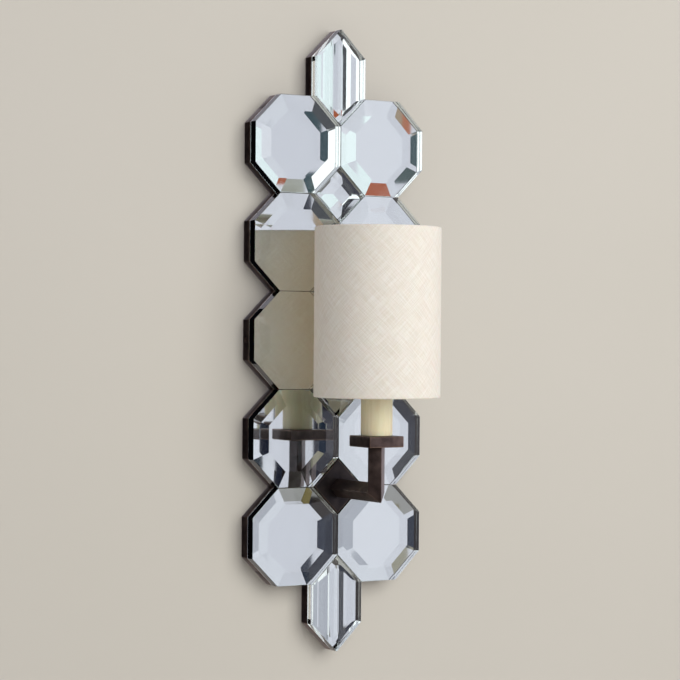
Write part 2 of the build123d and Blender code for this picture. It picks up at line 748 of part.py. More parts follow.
# ---- all nodes -------------------------------------------------------------------------------------------
def build_nodes():
    """Every sub-part by its node name."""
    octagons, points, squares = crystal_outlines()
    nodes = {
        "wall_bracket": wall_bracket(),
        "earth_screw": earth_screw(),
        "left_fixing_screw": fixing_screw(-1),
        "right_fixing_screw": fixing_screw(1),
        "back_plate": back_plate(),
        "terminal_block": terminal_block(),
        "live_wire": lamp_wire(-wire_spacing / 2),
        "neutral_wire": lamp_wire(wire_spacing / 2),
        "earth_wire": earth_wire(),
        "adhesive_pads": adhesive_pads(),
        "octagon_mirror_backs": mirror_backs(octagons),
        "pointed_mirror_backs": mirror_backs(points),
        "square_mirror_backs": mirror_backs(squares),
        "pointed_crystal_top": pointed_crystal(1),
        "pointed_crystal_bottom": pointed_crystal(-1),
        "arm_boss": boss(),
        "arm_stem": arm_stem(),
        "stem_washer": stem_washer(),
        "stem_nut": stem_nut(),
        "arm_tube": arm_tube(),
        "post_tube": post_tube(),
        "drip_pan": drip_pan(),
        "holder_riser": holder_riser(),
        "riser_nut": riser_nut(),
        "lamp_holder_body": lamp_holder_body(),
        "holder_screw_shell": holder_screw_shell(),
        "holder_contact": holder_contact(),
        "candle_sleeve": candle_sleeve(),
        "bulb_glass": bulb_glass(),
        "bulb_cap": bulb_cap(),
        "bulb_insulator": bulb_insulator(),
        "bulb_contact": bulb_contact(),
        "bulb_stem": bulb_stem(),
        "bulb_filaments": bulb_filaments(),
        "shade_fabric": shade_fabric(),
        "shade_lining": shade_lining(),
        "shade_top_ring": shade_ring(top_ring_z()),
        "shade_bottom_ring": shade_ring(bottom_ring_z()),
        "bulb_clip": bulb_clip(),
        "clip_arms": clip_arms(),
    }
    nodes.update(rim_strips())
    for row in range(tile_rows):
        for side, x in (("left", -half_pitch), ("right", half_pitch)):
            nodes[f"octagon_crystal_{row + 1}_{side}"] = octagon_crystal(x, row_height(row))
    for place, z in zip(("upper", "middle", "lower"), square_rows()):
        nodes[f"square_crystal_{place}"] = square_crystal(z)
    return nodes


os.makedirs("parts", exist_ok=True)
for name, shape in build_nodes().items():
    export_step(shape, f"parts/{name}.step")
    print(name, round(shape.volume, 1))
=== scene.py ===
"""Looks of an electric wall sconce: bevelled crystals on a scalloped bronze plate, arm and shade.

Metres, +Z up, the wall is the plane y = 0 and the room is on the -Y side.  Every place comes from
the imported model.  Local outlines are drawn in X and Y and then stood up, so that local Y becomes Z
and what rises towards the room becomes -Y.
"""
import json
import logging
import math
import sys
from collections.abc import Iterator, Sequence
from dataclasses import dataclass, field
from enum import Enum

import bmesh
import bpy
from bmesh.types import BMesh, BMFace, BMVert
from bpy.types import ID, Material, Node, NodeSocket, NodeTree, Object
from mathutils import Matrix, Vector, noise

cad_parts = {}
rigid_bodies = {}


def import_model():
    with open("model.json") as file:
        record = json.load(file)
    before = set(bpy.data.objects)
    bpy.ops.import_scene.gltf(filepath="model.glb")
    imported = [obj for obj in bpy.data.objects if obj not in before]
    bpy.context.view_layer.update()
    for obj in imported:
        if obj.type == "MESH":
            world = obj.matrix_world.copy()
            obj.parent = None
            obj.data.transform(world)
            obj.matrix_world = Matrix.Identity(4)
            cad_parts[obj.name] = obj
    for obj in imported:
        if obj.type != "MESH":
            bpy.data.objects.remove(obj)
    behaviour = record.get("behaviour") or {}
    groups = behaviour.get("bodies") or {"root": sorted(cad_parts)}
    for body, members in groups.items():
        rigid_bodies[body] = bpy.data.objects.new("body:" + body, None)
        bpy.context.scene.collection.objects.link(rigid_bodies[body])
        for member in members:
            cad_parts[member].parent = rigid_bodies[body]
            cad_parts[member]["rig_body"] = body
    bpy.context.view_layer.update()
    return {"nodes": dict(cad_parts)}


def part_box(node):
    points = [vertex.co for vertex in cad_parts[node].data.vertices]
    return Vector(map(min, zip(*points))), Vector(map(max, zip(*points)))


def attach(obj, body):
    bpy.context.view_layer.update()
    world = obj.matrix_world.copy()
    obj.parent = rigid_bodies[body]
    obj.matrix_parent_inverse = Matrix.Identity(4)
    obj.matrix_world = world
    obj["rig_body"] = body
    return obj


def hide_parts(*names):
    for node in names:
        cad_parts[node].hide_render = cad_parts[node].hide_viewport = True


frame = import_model()
LOG = logging.getLogger("sconce")
MM = 0.001
STAND_UP = Matrix.Rotation(math.pi / 2, 4, "X")
CLOUD_ROUGHNESS = 0.55                  # how strong the finer octaves of a cloud pattern are
WAVE_PERIOD = 0.3142                    # length in metres of one wave at a scale of one
WELD = 0.001 * MM                       # corners closer than this are one corner
FLAT_ANGLE = math.radians(0.5)          # faces that meet at less than this are one face


# ---- colour and nodes ------------------------
def linear(colour: str) -> tuple[float, float, float, float]:
    """Turns an sRGB hex colour into linear light.

    Args:
        colour: Hex colour such as "#c0ffee".

    Returns:
        Red, green, blue and an alpha of one.
    """
    shares = [int(colour[i:i + 2], 16) / 255 for i in (1, 3, 5)]
    return (*[s / 12.92 if s <= 0.04045 else ((s + 0.055) / 1.055) ** 2.4 for s in shares], 1.0)


def add_node(tree: NodeTree, kind: str, inputs: dict[str | int, object] | None = None,
             **settings: object) -> Node:
    """Adds a node with its settings, values and links.

    Args:
        tree: Node tree that gets the node.
        kind: Type name of the node.
        inputs: Values or output sockets by the name or index of the input that takes them.
        **settings: Properties of the node itself.

    Returns:
        The new node.
    """
    made = tree.nodes.new(kind)
    for name, value in settings.items():
        setattr(made, name, value)
    for name, value in (inputs or {}).items():
        if isinstance(value, NodeSocket):
            tree.links.new(value, made.inputs[name])
        else:
            made.inputs[name].default_value = value
    return made


class Space(Enum):
    """Coordinates that a pattern follows."""

    OBJECT = "Object"
    UV = "UV"


def clouds(tree: NodeTree, size: float, stretch: Sequence[float] = (1, 1, 1),
           detail: float = 4.0, space: Space = Space.OBJECT, turn: float = 0.0) -> NodeSocket:
    """Makes a soft random pattern at a real size.

    Args:
        tree: Node tree that gets the pattern.
        size: Size of one cloud in metres.
        stretch: How many times longer the clouds are along each axis.
        detail: Octaves of finer clouds inside the first.
        space: Coordinates that the pattern follows.
        turn: Turn of the pattern about its third axis in degrees.

    Returns:
        Output socket with values from zero to one.
    """
    place = add_node(tree, "ShaderNodeTexCoord").outputs[space.value]
    turned = add_node(tree, "ShaderNodeMapping", {"Vector": place, "Rotation": (0, 0, math.radians(turn))})
    scale = [1 / (size * along) for along in stretch]
    sized = add_node(tree, "ShaderNodeMapping", {"Vector": turned.outputs[0], "Scale": scale})
    made = add_node(tree, "ShaderNodeTexNoise", {"Vector": sized.outputs[0], "Scale": 1.0,
                                                 "Detail": detail, "Roughness": CLOUD_ROUGHNESS})
    return made.outputs[0]


def between(tree: NodeTree, share: NodeSocket, low: float, high: float,
            start: float = 0.0, stop: float = 1.0) -> NodeSocket:
    """Maps a pattern from one range to another, held at its ends.

    Args:
        tree: Node tree that holds the pattern.
        share: Socket to map.
        low: Value at and before the start.
        high: Value at and after the stop.
        start: Pattern value where the change starts.
        stop: Pattern value where the change stops.

    Returns:
        Output socket of the mapped value.
    """
    return add_node(tree, "ShaderNodeMapRange", {"Value": share, "From Min": start, "From Max": stop,
                                                 "To Min": low, "To Max": high}).outputs[0]


@dataclass(frozen=True)
class Finish:
    """A surface finish, made once as a procedural material named for the real one."""

    title: str = "finish"

    def material(self) -> Material:
        """Makes the finish's material at its first use.

        Returns:
            The one material that all its pieces share.
        """
        made = bpy.data.materials.get(self.title)
        if made is None:
            made = bpy.data.materials.new(self.title)
            made.use_nodes = True
            self.dress(made.node_tree, made.node_tree.nodes["Principled BSDF"])
        return made

    def dress(self, tree: NodeTree, shader: Node) -> None:
        """Adds this finish's nodes to its shader.

        Args:
            tree: The material's nodes.
            shader: Its main shader.
        """
        raise NotImplementedError

    def set_plain(self, shader: Node, **values: float) -> None:
        """Sets the shader's own sockets, whose names have underscores for spaces here."""
        for name, value in values.items():
            shader.inputs[name.replace("_", " ")].default_value = value

    def colour(self, tree: NodeTree, shader: Node, share: NodeSocket,
               first: str, second: str) -> NodeSocket:
        """Colours the shader between two colours by a pattern.

        Args:
            tree: The material's nodes.
            shader: Its main shader.
            share: Socket that is zero for the first colour and one for the second.
            first: First hex colour.
            second: Second hex colour.

        Returns:
            Output socket of the mixed colour.
        """
        mixed = add_node(tree, "ShaderNodeMix", {0: share, 6: linear(first), 7: linear(second)},
                         data_type="RGBA").outputs[2]
        tree.links.new(mixed, shader.inputs["Base Color"])
        return mixed

    def relief(self, tree: NodeTree, shader: Node, height: NodeSocket,
               depth: float, strength: float = 1.0) -> None:
        """Raises the surface by a pattern, to a real depth in metres."""
        bump = add_node(tree, "ShaderNodeBump", {"Height": height, "Distance": depth, "Strength": strength})
        tree.links.new(bump.outputs[0], shader.inputs["Normal"])


@dataclass(frozen=True)
class PatinatedBronze(Finish):
    """Cast and drawn bronze, patinated dark and lacquered: cloudy brown, paler on rubbed arrises."""

    title: str = "patinated_bronze"
    dark: str = "#544845"
    pale: str = "#786762"
    rubbed: str = "#9c8071"
    cloud: float = 11 * MM
    patch: float = 4 * MM
    tooth: float = 0.9 * MM
    tooth_depth: float = 0.03 * MM
    gloss: tuple[float, float] = (0.30, 0.46)
    metallic: float = 0.85              # under full, for the lacquer's share of the light

    def dress(self, tree: NodeTree, shader: Node) -> None:
        """Mixes two browns by clouds, and the rubbed metal in at the arrises.

        Args:
            tree: The material's nodes.
            shader: Its main shader.
        """
        cloud = clouds(tree, self.cloud, detail=6)
        mixed = self.colour(tree, shader, between(tree, cloud, 0, 1, 0.35, 0.65), self.dark, self.pale)
        arris = add_node(tree, "ShaderNodeAttribute", attribute_name="arris").outputs["Fac"]
        patches = between(tree, clouds(tree, self.patch), 0.15, 0.8, 0.4, 0.6)
        wear = add_node(tree, "ShaderNodeMath", {0: arris, 1: patches}, operation="MULTIPLY").outputs[0]
        worn = add_node(tree, "ShaderNodeMix", {0: wear, 6: mixed, 7: linear(self.rubbed)}, data_type="RGBA")
        tree.links.new(worn.outputs[2], shader.inputs["Base Color"])
        tree.links.new(between(tree, cloud, *self.gloss), shader.inputs["Roughness"])
        self.relief(tree, shader, clouds(tree, self.tooth, detail=3), self.tooth_depth, 0.6)
        self.set_plain(shader, Metallic=self.metallic)


@dataclass(frozen=True)
class Crystal(Finish):
    """Cut and polished lead-free crystal: colourless, with the faint waves of hand polishing."""

    title: str = "polished_crystal"
    tint: str = "#f6faf9"
    edge_tint: str = "#e4f0ec"
    wave: float = 16 * MM
    wave_depth: float = 0.012 * MM
    bending: float = 1.52

    def dress(self, tree: NodeTree, shader: Node) -> None:
        """Gives clear glass a trace of green at its arrises and a very slow ripple.

        Args:
            tree: The material's nodes.
            shader: Its main shader.
        """
        arris = add_node(tree, "ShaderNodeAttribute", attribute_name="arris").outputs["Fac"]
        self.colour(tree, shader, arris, self.tint, self.edge_tint)
        self.relief(tree, shader, clouds(tree, self.wave, detail=1), self.wave_depth, 0.5)
        self.set_plain(shader, Roughness=0.0, IOR=self.bending, Transmission_Weight=1.0)


@dataclass(frozen=True)
class Silvering(Finish):
    """Silver laid on glass and painted grey behind: a cool mirror with faintly warm clouds."""

    title: str = "silvering"
    silver: str = "#f0f1f5"
    warm: str = "#e6e4e2"
    paint: str = "#6d6f73"
    cloud: float = 30 * MM
    mirror_roughness: float = 0.015
    paint_roughness: float = 0.6

    def dress(self, tree: NodeTree, shader: Node) -> None:
        """Shows silver towards the room and backing paint towards the plate.

        Args:
            tree: The material's nodes.
            shader: Its main shader.
        """
        cloud = clouds(tree, self.cloud, detail=3)
        mixed = self.colour(tree, shader, between(tree, cloud, 0, 1, 0.45, 0.8), self.silver, self.warm)
        normal = add_node(tree, "ShaderNodeTexCoord").outputs["Normal"]
        facing = add_node(tree, "ShaderNodeSeparateXYZ", {0: normal}).outputs[1]
        rear = between(tree, facing, 0, 1, 0.4, 0.6)
        both = add_node(tree, "ShaderNodeMix", {0: rear, 6: mixed, 7: linear(self.paint)}, data_type="RGBA")
        tree.links.new(both.outputs[2], shader.inputs["Base Color"])
        tree.links.new(between(tree, rear, 1.0, 0.0), shader.inputs["Metallic"])
        rough = between(tree, rear, self.mirror_roughness, self.paint_roughness)
        tree.links.new(rough, shader.inputs["Roughness"])


@dataclass(frozen=True)
class Linen(Finish):
    """Natural slubbed linen on the bias: pale flax threads crossing at 45 degrees, with thicker slubs.

    The threads are twice as coarse as the real 0.4 mm, so that they show at all.
    """

    title: str = "slubbed_linen"
    pale: str = "#f4f0ea"
    flax: str = "#dad0c1"
    thread: float = 0.8 * MM
    slub: float = 0.9 * MM
    slub_length: float = 24.0           # in widths of the slub
    depth: float = 0.14 * MM
    contrast: tuple[float, float] = (-0.7, 1.3)

    def dress(self, tree: NodeTree, shader: Node) -> None:
        """Crosses two sets of threads and lays long slubs over both.

        Args:
            tree: The material's nodes.
            shader: Its main shader.
        """
        place = add_node(tree, "ShaderNodeTexCoord").outputs["UV"]
        raised = []
        for turn in (45, -45):
            turned = add_node(tree, "ShaderNodeMapping", {"Vector": place,
                                                          "Rotation": (0, 0, math.radians(turn))})
            wave = add_node(tree, "ShaderNodeTexWave", {"Vector": turned.outputs[0], "Distortion": 1.2,
                                                        "Scale": WAVE_PERIOD / self.thread, "Detail": 2.0,
                                                        "Detail Scale": 1.5}, wave_profile="SIN")
            slub = clouds(tree, self.slub, (1, self.slub_length, 1), 4, Space.UV, turn)
            raised.append((wave.outputs["Fac"], between(tree, slub, 0, 1, 0.40, 0.75)))
        (warp, warp_slub), (weft, weft_slub) = raised
        weave = add_node(tree, "ShaderNodeMath", {0: warp, 1: weft}, operation="MULTIPLY")
        slubs = add_node(tree, "ShaderNodeMath", {0: warp_slub, 1: weft_slub}, operation="ADD")
        total = add_node(tree, "ShaderNodeMath", {0: weave.outputs[0], 1: 0.5, 2: slubs.outputs[0]},
                         operation="MULTIPLY_ADD").outputs[0]
        self.colour(tree, shader, between(tree, total, 0, 1, *self.contrast), self.flax, self.pale)
        self.relief(tree, shader, total, self.depth, 0.5)
        self.set_plain(shader, Roughness=0.92, Sheen_Weight=0.25, Sheen_Roughness=0.5,
                       Subsurface_Weight=0.12, Subsurface_Scale=1.5 * MM)


@dataclass(frozen=True)
class ShadeLining(Finish):
    """Stiff white laminate behind the cloth: smooth, faintly mottled where the weave shows through."""

    title: str = "white_laminate"
    white: str = "#f4f1e9"
    shadow: str = "#e6e0d2"
    tooth: float = 1.2 * MM
    tooth_depth: float = 0.04 * MM
    roughness: float = 0.55

    def dress(self, tree: NodeTree, shader: Node) -> None:
        """Mottles the white and gives it the fine tooth of the laminate.

        Args:
            tree: The material's nodes.
            shader: Its main shader.
        """
        fine = clouds(tree, self.tooth, (1, 1, 5))
        self.colour(tree, shader, between(tree, fine, 0, 1, 0.35, 0.75), self.white, self.shadow)
        self.relief(tree, shader, fine, self.tooth_depth, 0.5)
        self.set_plain(shader, Roughness=self.roughness)


@dataclass(frozen=True)
class IvoryCandle(Finish):
    """Moulded ivory resin candle tube: satin, slightly translucent, with faint vertical flow marks."""

    title: str = "ivory_resin"
    ivory: str = "#f9edcd"
    honey: str = "#f0e2be"
    streak: float = 2.5 * MM
    pit: float = 0.8 * MM
    pit_depth: float = 0.02 * MM
    gloss: tuple[float, float] = (0.36, 0.5)
    soak: float = 4 * MM                # how far light spreads inside the resin

    def dress(self, tree: NodeTree, shader: Node) -> None:
        """Streaks the ivory lengthways and pits it very slightly.

        Args:
            tree: The material's nodes.
            shader: Its main shader.
        """
        streaks = clouds(tree, self.streak, (1, 1, 9), 5)
        self.colour(tree, shader, between(tree, streaks, 0, 1, 0.35, 0.7), self.ivory, self.honey)
        tree.links.new(between(tree, streaks, *self.gloss), shader.inputs["Roughness"])
        self.relief(tree, shader, clouds(tree, self.pit), self.pit_depth, 0.6)
        self.set_plain(shader, Subsurface_Weight=0.25, Subsurface_Scale=self.soak)


@dataclass(frozen=True)
class Metal(Finish):
    """A plated or turned metal with its own two tones, turning marks and wear."""

    title: str = "zinc_plate"
    pale: str = "#c9cbc8"
    deep: str = "#9fa3a3"
    grain: float = 1.4 * MM
    stretch: tuple[float, float, float] = (6, 1, 1)
    roughness: float = 0.34
    mark_depth: float = 0.02 * MM

    def dress(self, tree: NodeTree, shader: Node) -> None:
        """Lays fine marks along the stretch and dulls the metal where they are deep.

        Args:
            tree: The material's nodes.
            shader: Its main shader.
        """
        marks = clouds(tree, self.grain, self.stretch, 5)
        self.colour(tree, shader, between(tree, marks, 0, 1, 0.3, 0.7), self.pale, self.deep)
        rough = between(tree, marks, self.roughness - 0.08, self.roughness + 0.1)
        tree.links.new(rough, shader.inputs["Roughness"])
        self.relief(tree, shader, marks, self.mark_depth, 0.5)
        self.set_plain(shader, Metallic=1.0)


@dataclass(frozen=True)
class Moulding(Finish):
    """A moulded or extruded plastic, rubber or enamel: even colour with faint flow marks and tooth."""

    title: str = "moulded_nylon"
    colour_a: str = "#e9e8e1"
    colour_b: str = "#d8d6cc"
    flow: float = 6 * MM
    tooth: float = 0.5 * MM
    roughness: float = 0.42
    coat: float = 0.0
    tooth_depth: float = 0.015 * MM
    coat_roughness: float = 0.15

    def dress(self, tree: NodeTree, shader: Node) -> None:
        """Clouds the colour slowly and adds the mould's fine tooth.

        Args:
            tree: The material's nodes.
            shader: Its main shader.
        """
        flow = clouds(tree, self.flow, detail=3)
        self.colour(tree, shader, between(tree, flow, 0, 1, 0.35, 0.7), self.colour_a, self.colour_b)
        rough = between(tree, flow, self.roughness - 0.05, self.roughness + 0.07)
        tree.links.new(rough, shader.inputs["Roughness"])
        self.relief(tree, shader, clouds(tree, self.tooth, detail=2), self.tooth_depth, 0.6)
        self.set_plain(shader, Coat_Weight=self.coat, Coat_Roughness=self.coat_roughness)


@dataclass(frozen=True)
class StripedInsulation(Finish):
    """Green wire insulation with a yellow stripe down each side."""

    title: str = "green_yellow_insulation"
    green: str = "#3f8a2e"
    yellow: str = "#e2c72f"
    stripe: float = 2.2 * MM
    tooth: float = 0.7 * MM
    tooth_depth: float = 0.01 * MM
    roughness: float = 0.33

    def dress(self, tree: NodeTree, shader: Node) -> None:
        """Stripes the colour along the wire and gives it a soft extruded sheen.

        Args:
            tree: The material's nodes.
            shader: Its main shader.
        """
        place = add_node(tree, "ShaderNodeTexCoord").outputs["Object"]
        across = add_node(tree, "ShaderNodeMapping", {"Vector": place, "Scale": (1, 0, 0)}).outputs[0]
        bands = add_node(tree, "ShaderNodeTexWave", {"Vector": across, "Scale": WAVE_PERIOD / self.stripe},
                         wave_profile="SIN").outputs["Fac"]
        self.colour(tree, shader, between(tree, bands, 0, 1, 0.45, 0.55), self.green, self.yellow)
        self.relief(tree, shader, clouds(tree, self.tooth), self.tooth_depth, 0.5)
        self.set_plain(shader, Roughness=self.roughness)


@dataclass(frozen=True)
class BlownGlass(Finish):
    """Thin blown bulb glass: clear, with slow ripples down its length."""

    title: str = "blown_glass"
    clear: str = "#fbfcfb"
    smoke: str = "#f1f4f2"
    ripple: float = 9 * MM
    ripple_depth: float = 0.05 * MM
    bending: float = 1.5

    def dress(self, tree: NodeTree, shader: Node) -> None:
        """Ripples the glass gently.

        Args:
            tree: The material's nodes.
            shader: Its main shader.
        """
        ripple = clouds(tree, self.ripple, (1, 1, 3), 2)
        self.colour(tree, shader, ripple, self.clear, self.smoke)
        self.relief(tree, shader, ripple, self.ripple_depth, 0.4)
        self.set_plain(shader, Roughness=0.0, IOR=self.bending, Transmission_Weight=1.0)


BRONZE = PatinatedBronze()
# The boss lies deep between the crystals: this darker copy of the same bronze is painted shade for that
# recess.
RECESS_SHADED_BRONZE = PatinatedBronze("recess_shaded_bronze", "#2d2a2d", "#423c3b", "#6d5a50")
CRYSTAL = Crystal()
SILVERING = Silvering()
LINEN = Linen()
LINING = ShadeLining()
IVORY = IvoryCandle()
BULB_GLASS = BlownGlass()
EARTH_SLEEVE = StripedInsulation()
# Bright zinc plate over rolled steel: pale grey with a bluish cast, drawn marks along the bar.
ZINC = Metal()
# Pressed and turned brass: warm yellow with fine lathe marks round the axis.
BRASS = Metal("turned_brass", "#e0bd72", "#b98f45", 0.8 * MM, (1, 1, 0.3), 0.28)
# Nickel-plated spring strip: slightly yellow grey, rolled marks down the leaf.
NICKEL = Metal("nickel_plate", "#d6d2c8", "#a8a49b", 0.7 * MM, (1, 1, 8), 0.24)
# Moulded nylon terminal block: dull warm white with a faint bloom.
NYLON = Moulding()
# Phenolic moulding: near-black brown with a hard gloss.
BAKELITE = Moulding("black_bakelite", "#171412", "#221d1a", 9 * MM, 0.4 * MM, 0.3, 0.3)
# Cured silicone: milky, soft and slightly uneven.
SILICONE = Moulding("cured_silicone", "#d9d8cf", "#c3c2b6", 4 * MM, 1.5 * MM, 0.5)
# Extruded PVC round the live and the neutral wire: even colour with a soft waxy shine.
BROWN_PVC = Moulding("brown_insulation", "#6b3f24", "#573019", 3 * MM, 0.8 * MM, 0.32)
BLUE_PVC = Moulding("blue_insulation", "#2f6fae", "#24598f", 3 * MM, 0.8 * MM, 0.32)
# Baked white enamel on steel wire: glossy, a little thicker in places.
ENAMEL = Moulding("white_enamel", "#f1efe8", "#e4e1d7", 5 * MM, 0.6 * MM, 0.3, 0.4)
# Phosphor coating on the filaments: matt egg-yolk yellow.
PHOSPHOR = Moulding("phosphor_coating", "#e8b64a", "#d49c33", 1.5 * MM, 0.3 * MM, 0.7)


# ---- meshes ----------------------------------
def candle_axis() -> Vector:
    """Returns the point of the candle's axis at the height of the origin."""
    low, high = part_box("candle_sleeve")
    return Vector(((low.x + high.x) / 2, (low.y + high.y) / 2, 0.0))


def span(node: str) -> tuple[float, float, float]:
    """Measures a round node that stands on the candle's axis.

    Args:
        node: Name of the CAD node.

    Returns:
        Its outer radius, lowest and highest height.
    """
    low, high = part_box(node)
    return (high.x - low.x) / 2, low.z, high.z


def soften(bm: BMesh, width: float, segments: int = 2, angle: float = 30.0) -> None:
    """Rounds every edge sharper than an angle, and marks the new faces in the "arris" layer.

    Args:
        bm: Closed mesh to soften.
        width: Width of the rounding in metres.
        segments: Number of faces across it.
        angle: Smallest angle between two faces, in degrees, that is rounded.
    """
    layer = bm.faces.layers.float.get("arris") or bm.faces.layers.float.new("arris")
    limit = math.radians(angle)
    sharp = [e for e in bm.edges if e.is_manifold and e.calc_face_angle() > limit]
    made = bmesh.ops.bevel(bm, geom=sharp, offset=width, offset_type="OFFSET", affect="EDGES",
                           segments=segments, profile=0.5, clamp_overlap=True, material=-1)
    for face in made["faces"]:
        face[layer] = 1.0


def merged_copy(node: str) -> BMesh:
    """Copies a CAD node's mesh and joins up its flat faces.

    Args:
        node: Name of the CAD node.

    Returns:
        The closed mesh, in place.
    """
    bm = bmesh.new()
    bm.from_mesh(frame["nodes"][node].data)
    bmesh.ops.remove_doubles(bm, verts=bm.verts, dist=WELD)
    bmesh.ops.dissolve_limit(bm, angle_limit=FLAT_ANGLE, verts=bm.verts, edges=bm.edges)
    return bm


def tube(node: str, wall: float, step: float, steps: int) -> BMesh:
    """Turns a plain tube in place of a node that stands on the candle's axis.

    Args:
        node: Name of the CAD node.
        wall: Thickness of the tube's wall.
        step: Height of one ring of faces.
        steps: Faces round the full turn.

    Returns:
        A closed mesh with its normals outwards.
    """
    radius, low, high = span(node)
    rows = heights(low, high, step)
    profile = [(radius, z) for z in rows] + [(radius - wall, z) for z in reversed(rows)]
    bm = bmesh.new()
    verts = [bm.verts.new((r, 0.0, z)) for r, z in profile]
    edges = [bm.edges.new(pair) for pair in zip(verts, verts[1:] + verts[:1])]
    bmesh.ops.spin(bm, geom=verts + edges, cent=(0, 0, 0), axis=(0, 0, 1), dvec=(0, 0, 0),
                   angle=2 * math.pi, steps=steps, use_merge=True, use_duplicate=False)
    bmesh.ops.remove_doubles(bm, verts=bm.verts, dist=WELD / 2)
    bmesh.ops.recalc_face_normals(bm, faces=bm.faces)
    bmesh.ops.translate(bm, verts=bm.verts, vec=candle_axis())
    return bm


def cut_thread(bm: BMesh, pitch: float, depth: float, low: float, high: float) -> None:
    """Draws a round helical thread into the walls of a revolved mesh.

    Args:
        bm: Mesh with enough rings to carry the thread.
        pitch: Rise of the thread in one turn.
        depth: Depth from crest to root.
        low: Height where the thread starts.
        high: Height where it runs out.
    """
    centre = candle_axis()
    for vert in bm.verts:
        if low < vert.co.z < high:
            arm = Vector((vert.co.x - centre.x, vert.co.y - centre.y, 0.0))
            phase = 2 * math.pi * vert.co.z / pitch - math.atan2(arm.y, arm.x)
            run_out = min(1.0, (vert.co.z - low) / pitch, (high - vert.co.z) / pitch)
            sunk = depth * (0.5 - 0.5 * math.cos(phase)) * run_out
            vert.co -= arm.normalized() * sunk


def heights(low: float, high: float, step: float) -> list[float]:
    """Returns evenly spaced heights from one end to the other, about a step apart."""
    count = max(1, round((high - low) / step))
    return [low + (high - low) * index / count for index in range(count + 1)]


def put_in_scene(name: str, data: ID) -> Object:
    """Makes an object from a mesh, a light or a camera and puts it in the scene.

    Args:
        name: Name of the object.
        data: What it shows.

    Returns:
        The new object.
    """
    made = bpy.data.objects.new(name, data)
    bpy.context.scene.collection.objects.link(made)
    return made


def make_object(name: str, bm: BMesh, material: Material) -> Object:
    """Turns a mesh into an object of one material.

    Args:
        name: Name of the object and its mesh.
        bm: Its mesh, already in place; it is freed.
        material: What it is made of.

    Returns:
        The new object.
    """
    mesh = bpy.data.meshes.new(name)
    bm.to_mesh(mesh)
    bm.free()
    mesh.materials.append(material)
    return put_in_scene(name, mesh)


def make_piece(name: str, bm: BMesh, finish: Finish, stands_for: Sequence[str],
               angle: float = 32.0) -> Object:
    """Turns a mesh into a finished piece that rides where the nodes it stands for ride.

    Args:
        name: Name of the piece.
        bm: Its mesh, already in place; it is freed.
        finish: What it is made of.
        stands_for: CAD nodes that it replaces, all on one body and in one material slot.
        angle: Edges flatter than this are shaded smooth, in degrees.

    Returns:
        The new object.
    """
    made = make_object(name, bm, finish.material())
    made.data.shade_smooth()
    made.data.set_sharp_from_angle(angle=math.radians(angle))
    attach(made, frame["nodes"][stands_for[0]]["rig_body"])
    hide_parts(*stands_for)
    return made


@dataclass
class Softened:
    """Nodes of the right shape that only need soft arrises and a finish."""

    finish: Finish
    width: float = 0.25 * MM
    segments: int = 2
    angle: float = 30.0

    def build(self, node: str) -> Object:
        """Copies, softens and finishes one node.

        Args:
            node: Name of the CAD node.

        Returns:
            The finished piece.
        """
        bm = merged_copy(node)
        if self.width:
            soften(bm, self.width, self.segments, self.angle)
        return make_piece(f"{node}_finished", bm, self.finish, [node])


